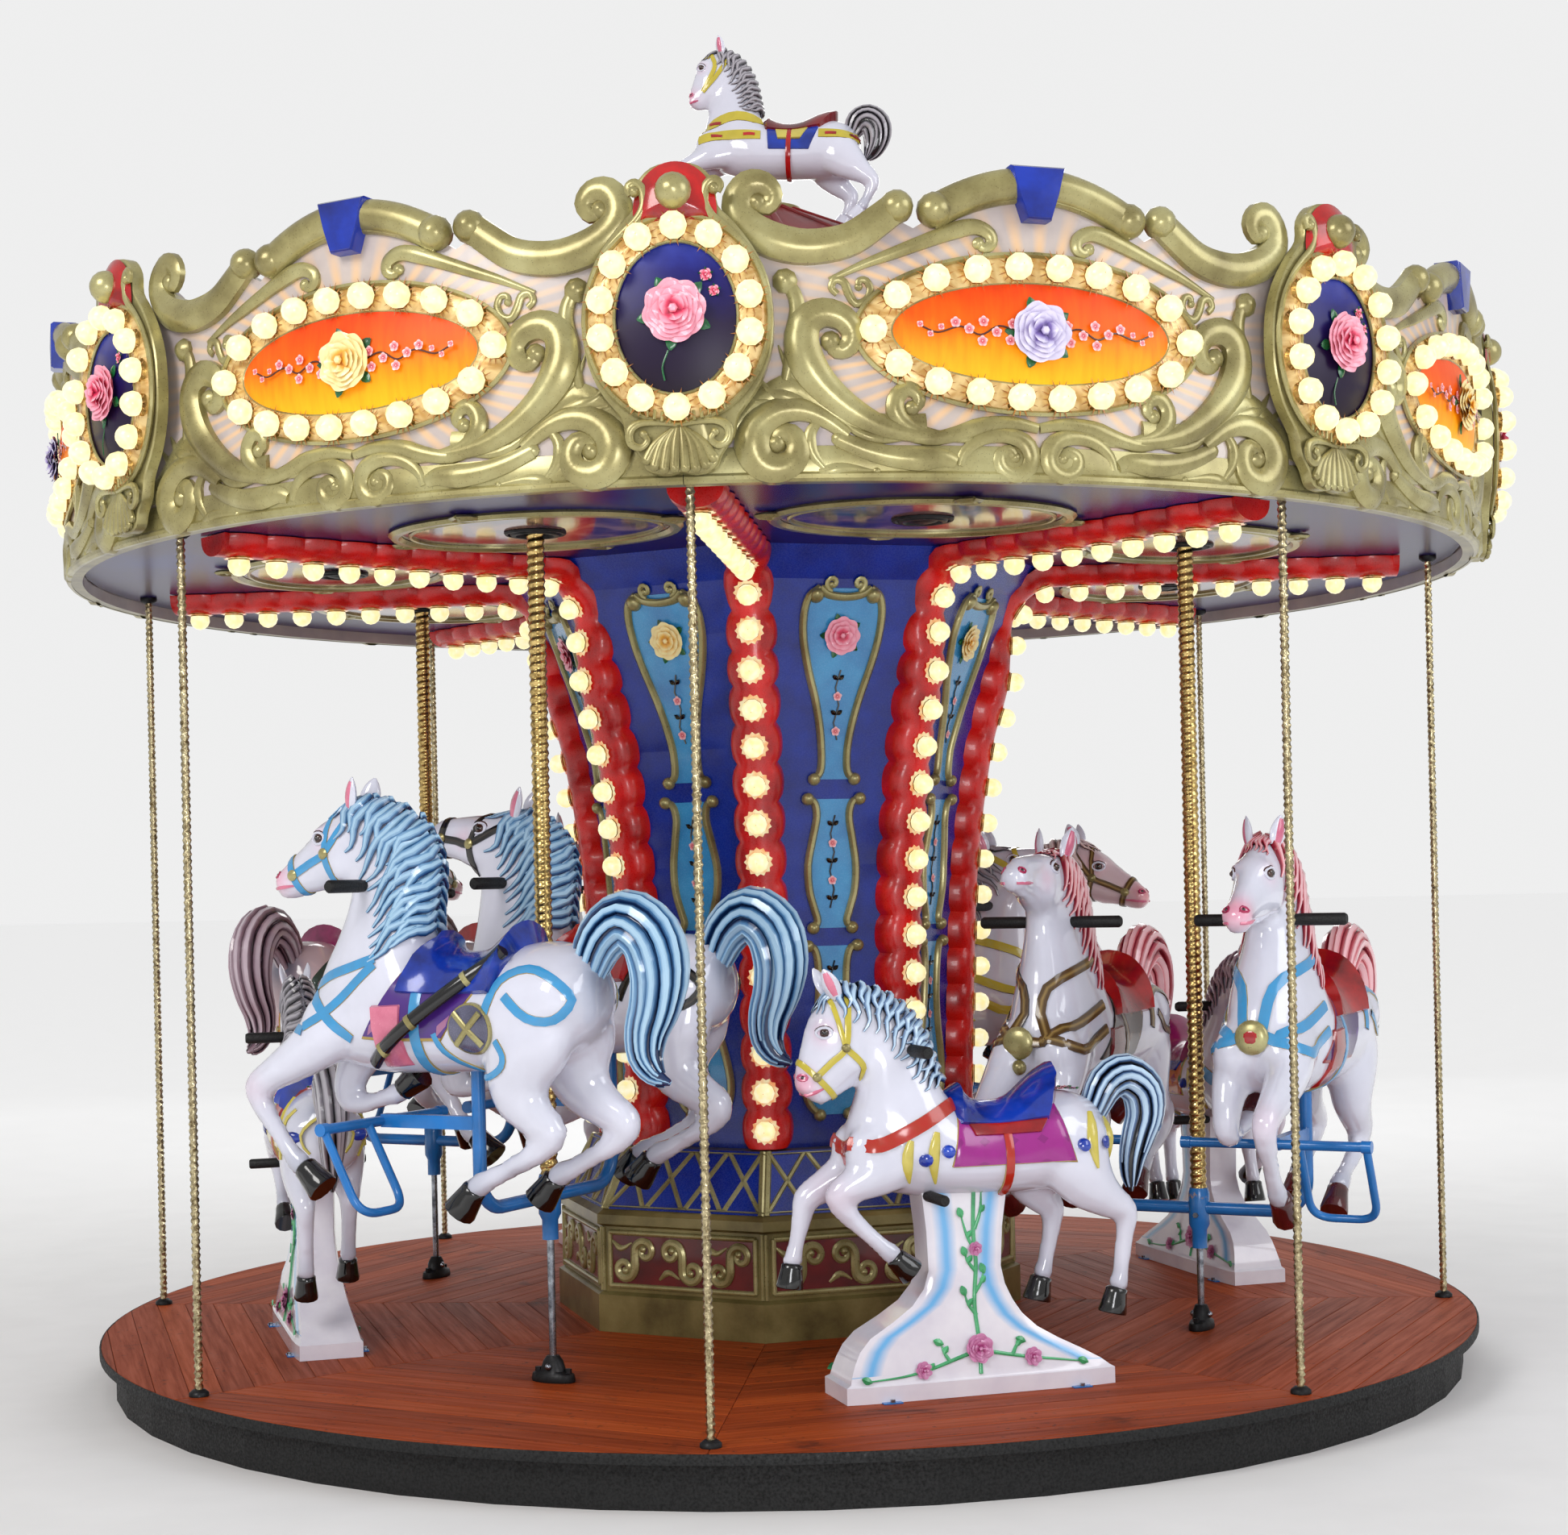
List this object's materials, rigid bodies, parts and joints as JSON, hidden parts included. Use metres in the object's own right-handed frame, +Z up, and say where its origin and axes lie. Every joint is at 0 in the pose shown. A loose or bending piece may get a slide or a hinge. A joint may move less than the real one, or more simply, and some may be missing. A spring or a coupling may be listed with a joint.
{
  "type": "fairground carousel",
  "caption": "Small fairground merry-go-round: round deck, central column, bulb-lit canopy on twisted poles, paired rising horses and fixed small horses on stands.",
  "frame": {"origin": "centre of the base on the ground", "axes": "+Z up along the turning axis; -Y towards rim pole 1; rim poles follow at 45 degree steps turning from -Y towards +X"},
  "size_m": [4.87, 4.87, 4.4843],
  "materials": {
    "black_paint": "satin",
    "deck_wood": "worn stain",
    "gold_paint": "semi-gloss",
    "blue_gloss": "gloss",
    "ceiling_panel": "high gloss",
    "red_roof": "gloss",
    "horse_gloss": "high gloss",
    "red_gloss": "gloss",
    "cream_gold": "gloss",
    "brass": "polished, twisted",
    "steel": "polished",
    "blue_tube": "gloss"
  },
  "bodies": {
    "base": {"base": "black_paint"},
    "turntable": {"deck": "deck_wood", "pedestal": "gold_paint", "column": "blue_gloss", "ceiling": "ceiling_panel", "roof": "red_roof", "roof_horse": "horse_gloss", "light_rib_1": "red_gloss", "light_rib_2": "red_gloss", "light_rib_3": "red_gloss", "light_rib_4": "red_gloss", "light_rib_5": "red_gloss", "light_rib_6": "red_gloss", "light_rib_7": "red_gloss", "light_rib_8": "red_gloss", "rounding_board_1": "cream_gold", "rounding_board_2": "cream_gold", "rounding_board_3": "cream_gold", "rounding_board_4": "cream_gold", "rounding_board_5": "cream_gold", "rounding_board_6": "cream_gold", "rounding_board_7": "cream_gold", "rounding_board_8": "cream_gold", "shield_1": "gold_paint", "shield_2": "gold_paint", "shield_3": "gold_paint", "shield_4": "gold_paint", "shield_5": "gold_paint", "shield_6": "gold_paint", "shield_7": "gold_paint", "shield_8": "gold_paint", "rim_pole_1": "brass", "rim_pole_2": "brass", "rim_pole_3": "brass", "rim_pole_4": "brass", "rim_pole_5": "brass", "rim_pole_6": "brass", "rim_pole_7": "brass", "rim_pole_8": "brass", "guide_rod_1": "steel", "guide_rod_2": "steel", "guide_rod_3": "steel", "guide_rod_4": "steel", "small_horse_1": "horse_gloss", "small_horse_2": "horse_gloss", "small_horse_3": "horse_gloss", "small_horse_4": "horse_gloss"},
    "jumper_1": {"jumper_frame_1": "blue_tube", "jumper_horse_1_outer": "horse_gloss", "jumper_horse_1_inner": "horse_gloss"},
    "jumper_2": {"jumper_frame_2": "blue_tube", "jumper_horse_2_outer": "horse_gloss", "jumper_horse_2_inner": "horse_gloss"},
    "jumper_3": {"jumper_frame_3": "blue_tube", "jumper_horse_3_outer": "horse_gloss", "jumper_horse_3_inner": "horse_gloss"},
    "jumper_4": {"jumper_frame_4": "blue_tube", "jumper_horse_4_outer": "horse_gloss", "jumper_horse_4_inner": "horse_gloss"}
  },
  "joints": [
    {"name": "turntable_spin", "type": "hinge", "parent": "base", "child": "turntable", "pos_m": [0, 0, 0], "axis": [0, 0, 1], "continuous": true},
    {"name": "jumper_1_lift", "type": "slide", "parent": "turntable", "child": "jumper_1", "axis": [0, 0, 1], "range_m": [-0.2, 0.04]},
    {"name": "jumper_2_lift", "type": "slide", "parent": "turntable", "child": "jumper_2", "axis": [0, 0, 1], "range_m": [-0.04, 0.2]},
    {"name": "jumper_3_lift", "type": "slide", "parent": "turntable", "child": "jumper_3", "axis": [0, 0, 1], "range_m": [-0.075, 0.165]},
    {"name": "jumper_4_lift", "type": "slide", "parent": "turntable", "child": "jumper_4", "axis": [0, 0, 1], "range_m": [-0.165, 0.075]}
  ]
}
